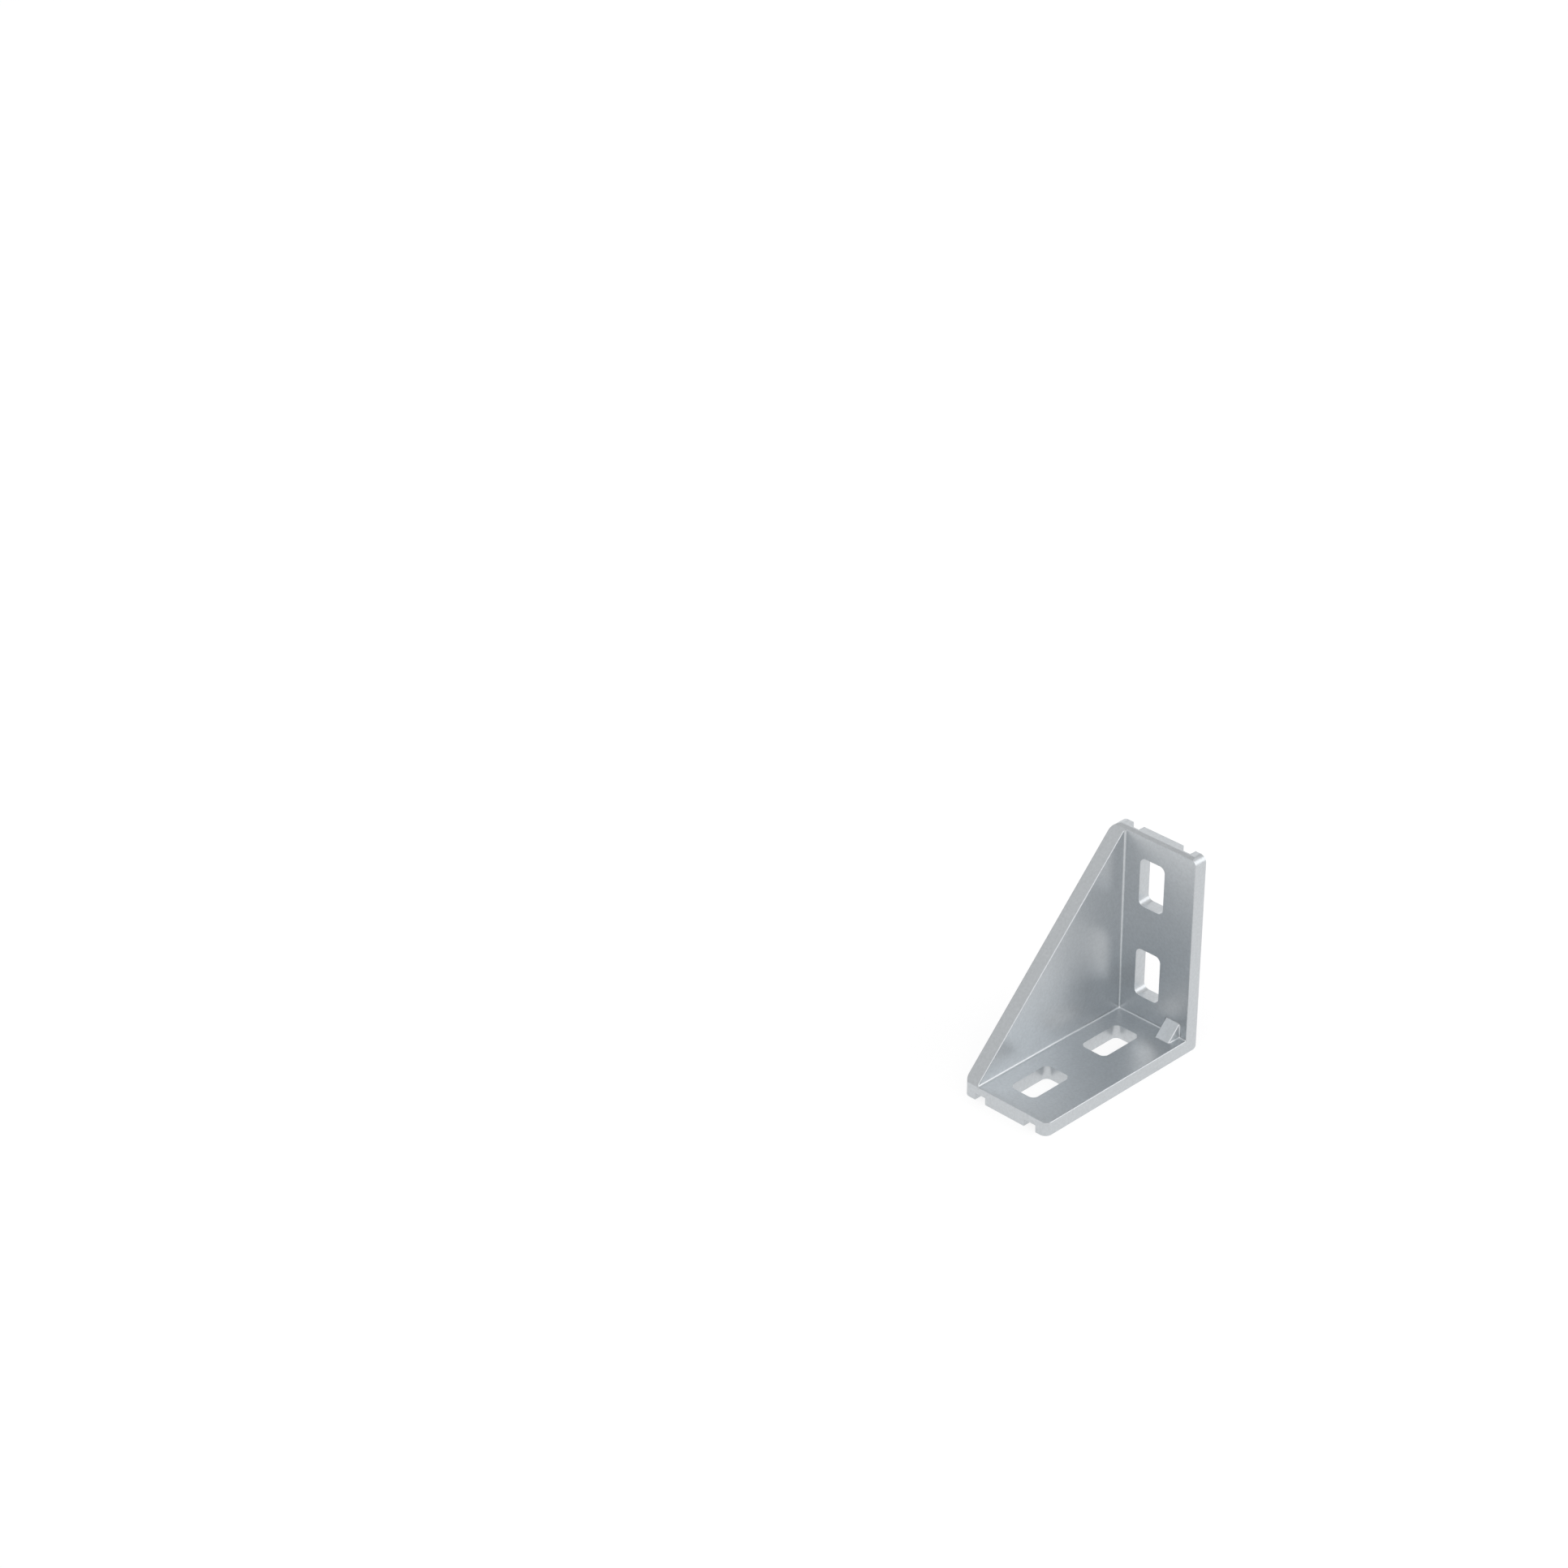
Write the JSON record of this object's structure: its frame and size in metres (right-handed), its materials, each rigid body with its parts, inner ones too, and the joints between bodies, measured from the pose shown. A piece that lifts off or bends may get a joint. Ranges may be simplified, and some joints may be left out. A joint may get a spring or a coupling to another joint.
{
  "type": "t slot corner bracket",
  "caption": "Die-cast aluminium corner bracket for T-slot framing: slotted legs at a right angle, joined by a triangular side wall.",
  "frame": {"origin": "outer corner where the two mounting planes meet, at the middle of the bracket's width", "axes": "+X along the lower leg, which lies on Z = 0 and faces down. +Z along the upright leg, whose back lies on X = 0. The side wall is on the -Y side, and +Y is the open side."},
  "size_m": [0.078, 0.038, 0.078],
  "materials": {
    "cast_aluminium": "satin die-cast surface, lightly blasted, uncoated"
  },
  "bodies": {
    "root": {"bracket_body": "cast_aluminium"}
  },
  "joints": []
}
